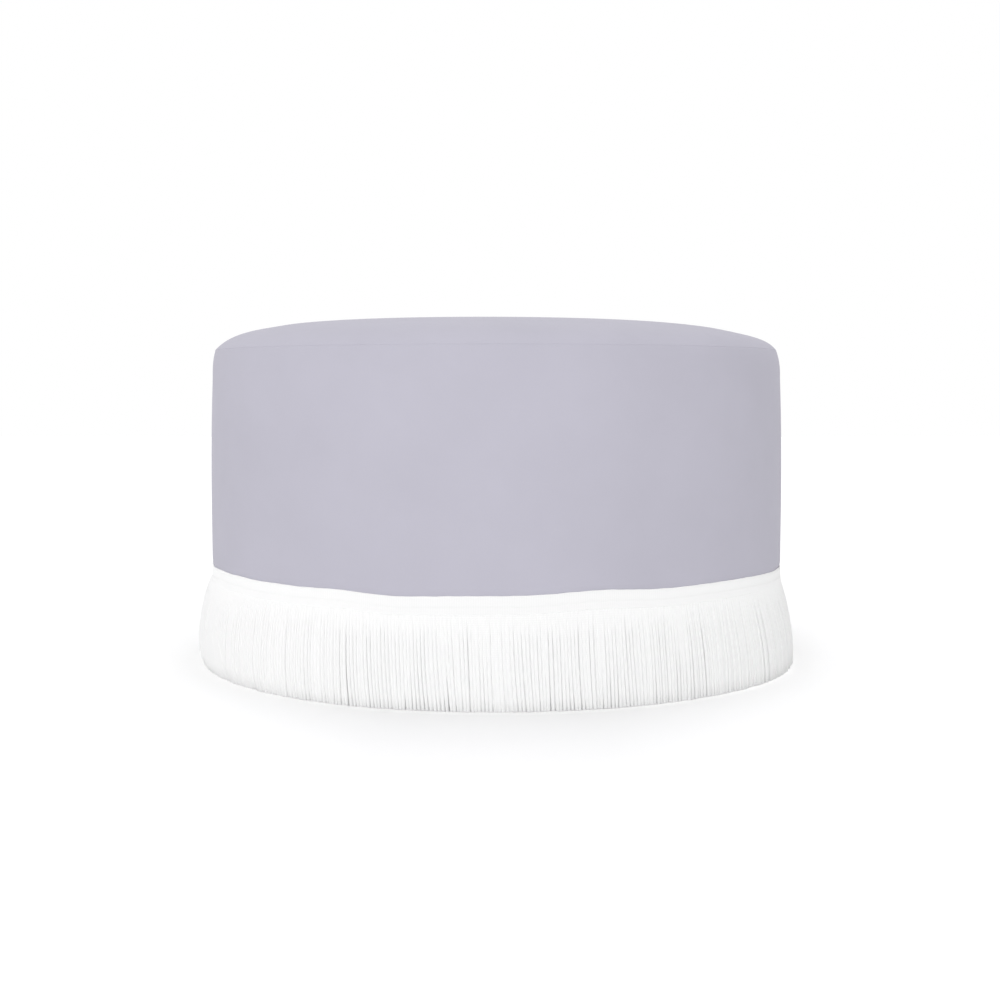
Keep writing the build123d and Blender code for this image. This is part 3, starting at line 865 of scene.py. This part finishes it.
def makeRoundCloth(name, slot, node, sheet):
    # a level cloth that sags a little towards the middle
    radius, height = sheet["radius"], sheet["height"]
    bm, v = startAt(0, height)
    runTo(bm, v, radius, height, 40)
    spinRound(bm, 144)
    for spot in footSpots if sheet["footHole"] else ():
        gone = [f for f in bm.faces if (f.calc_center_median().xy - spot).length < sheet["footHole"]]
        bmesh.ops.delete(bm, geom=gone, context="FACES")
    for vert in bm.verts:
        share = vert.co.xy.length / radius
        ripple = noise.noise(Vector((vert.co.x * ripples["count"], vert.co.y * ripples["count"], height)))
        vert.co.z -= sheet["sag"] * (1 - share**2) * (1 + ripples["share"] * ripple)
    if bm.faces[:][0].normal.z < 0:
        bmesh.ops.reverse_faces(bm, faces=bm.faces[:])
    piece = finishPiece(name, bm, slot, [node], [thick(sheet["cloth"], 0.0)])
    return piece


feltPad = {
    "steps": 48, "flat": 20.0 * mm, "edge": 1.0 * mm, "side": 20.9 * mm, "shoulder": 2.3 * mm,
    "topEdge": 0.7 * mm, "topTurn": 80.0, "top": 2.98 * mm,
}


def makeFootPad(index, centre):
    bm, v = startAt(0, 0)
    v = runTo(bm, v, feltPad["flat"], 0, 3)
    v = sweepBy(bm, v, (feltPad["flat"], feltPad["edge"]), -90, 3)
    v = runTo(bm, v, feltPad["side"], feltPad["shoulder"])
    v = sweepBy(bm, v, (feltPad["side"] - feltPad["topEdge"], feltPad["shoulder"]), -feltPad["topTurn"], 3)
    runTo(bm, v, 0, feltPad["top"], 3)
    spinRound(bm, feltPad["steps"])
    bmesh.ops.translate(bm, verts=bm.verts[:], vec=(*centre, 0))
    piece = finishPiece(f"feltPad_{index}", bm, "felt", [f"foot_pad_{index}"])
    return piece


makeFoamBlock()
makeSideWrap()
for strap in range(webbing["count"]):
    makeStrap(strap, False)
    makeStrap(strap, True)
footBoxes = [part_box(f"foot_{k}") for k in range(1, 5)]
footSpots = [(Vector(low) + Vector(high)).xy / 2 for low, high in footBoxes]
makeRoundCloth("seatHessian", "hessian", "seat_hessian", hessian)
makeRoundCloth("dustCloth", "dust_cloth", "dust_cloth", dustCloth)
for number, spot in enumerate(footSpots, 1):
    makeFootPad(number, spot)
print("filling, webbing and underside made")

# Studio: pale floor with painted light round the seat, white surroundings, a soft lamp in front to the left and
# a weak one overhead
studio = {
    "floor": 8.0, "floorLevel": 0.94, "around": 0.79,
    "hemOut": 1.6 * mm,  # outer side of the tips, from their middle
    # painted light: the floor glows for camera and glossy rays, strongest just at the hem, where it lightens
    # the contact shadow under the cords: distance in hem radii, amount
    "paintedLightByDistance": ((0.998, 0.55), (1.01, 0.04), (1.07, 0.035), (1.69, 0.138), (6.0, 0.24)),
    "paintedLightBeside": ((0.12, 0.0), (0.43, 0.15)),  # painted light added to the left and right, where it takes out the floor's shade beside the seat, distance in metres
    "keyLamp": {"place": (-0.66, -3.0, 1.0), "target": (0, 0, 0.25), "size": 1.8, "power": 22.2},
    "overLamp": {"place": (0.05, 0.2, 3.2), "target": (0.05, 0.2, 0), "size": 1.15, "power": 9.5},
    "camera": {"place": (0.0047, -1.916, 0.3615), "down": 4.66, "lens": 50.5, "sensor": 36.0},
}


def makeFloor():
    bm = bmesh.new()
    bmesh.ops.create_grid(bm, x_segments=2, y_segments=2, size=studio["floor"])
    mesh = bpy.data.meshes.new("floor")
    bm.to_mesh(mesh)
    bm.free()
    f = Finish("paleFloor", roughness=0.95, Specular_IOR_Level=0.0)
    f.shader.inputs["Base Color"].default_value = (*[studio["floorLevel"]] * 3, 1)
    # painted light: emission seen only by camera, glossy and transmission rays, bright in a ring at the hem and
    # rising to the left and right, lightens the floor's contact shadow and its shade beside the seat
    x, y = f.parts(f.place())[:2]
    turn = f.node("Math", {"operation": "ARCTAN2"}, {0: x, 1: y * -1}) * math.degrees(1)  # from the front
    hem = fringe["headRadius"] + fringe["tipOut"] + studio["hemOut"]
    for place, size, width in fringe["tipRuns"]:
        off = (turn - place) / width
        hem = (off * off * -1).maths("EXPONENT") * (size * mm) + hem
    away = (x * x + y * y) ** 0.5 / hem
    furthest = studio["paintedLightByDistance"][-1][0]
    paintedLight = f.shades(away / furthest, *((stop / furthest, [amount] * 3) for stop, amount in studio["paintedLightByDistance"]))
    paintedLightAtSides = f.shades(x.size(), *((stop, [amount] * 3) for stop, amount in studio["paintedLightBeside"]))
    paintedLight = f.mix(1.0, paintedLight, paintedLightAtSides, "ADD")
    seen = f.node("LightPath", output="Is Camera Ray")
    for ray in ("Is Glossy Ray", "Is Transmission Ray"):
        seen = seen.atLeast(f.node("LightPath", output=ray))
    f.put(f.shader.inputs["Emission Color"], f.mix(seen, (0, 0, 0, 1), paintedLight))
    f.shader.inputs["Emission Strength"].default_value = 1.0
    mesh.materials.append(f.material)
    floor = bpy.data.objects.new("floor", mesh)
    scene.collection.objects.link(floor)


def makeSurroundings():
    world = bpy.data.worlds.new("studio")
    scene.world = world
    world.use_nodes = True
    nodes, links = world.node_tree.nodes, world.node_tree.links
    path = nodes.new("ShaderNodeLightPath")
    seen = path.outputs["Is Camera Ray"]
    for ray in ("Is Glossy Ray", "Is Transmission Ray"):
        either = nodes.new("ShaderNodeMath")
        either.operation = "MAXIMUM"
        links.new(seen, either.inputs[0])
        links.new(path.outputs[ray], either.inputs[1])
        seen = either.outputs[0]
    level = nodes.new("ShaderNodeMapRange")
    level.inputs["To Min"].default_value = studio["around"]
    level.inputs["To Max"].default_value = 1.0
    links.new(seen, level.inputs["Value"])
    background = nodes["Background"]
    background.inputs["Color"].default_value = (1, 1, 1, 1)
    links.new(level.outputs["Result"], background.inputs["Strength"])


def makeLamp(name):
    settings = studio[name]
    lamp = bpy.data.lights.new(name, "AREA")
    lamp.size = settings["size"]
    lamp.energy = settings["power"]
    holder = bpy.data.objects.new(name, lamp)
    holder.location = settings["place"]
    aim = Vector(settings["target"]) - Vector(settings["place"])
    holder.rotation_euler = aim.to_track_quat("-Z", "Y").to_euler()
    scene.collection.objects.link(holder)


def makeCamera():
    settings = studio["camera"]
    camera = bpy.data.cameras.new("camera")
    camera.lens = settings["lens"]
    camera.sensor_width = settings["sensor"]
    holder = bpy.data.objects.new("camera", camera)
    holder.location = settings["place"]
    holder.rotation_euler = (math.radians(90 - settings["down"]), 0, 0)
    scene.collection.objects.link(holder)
    scene.camera = holder


makeFloor()
makeSurroundings()
makeLamp("keyLamp")
makeLamp("overLamp")
makeCamera()

bpy.context.view_layer.update()
print("scene ready")
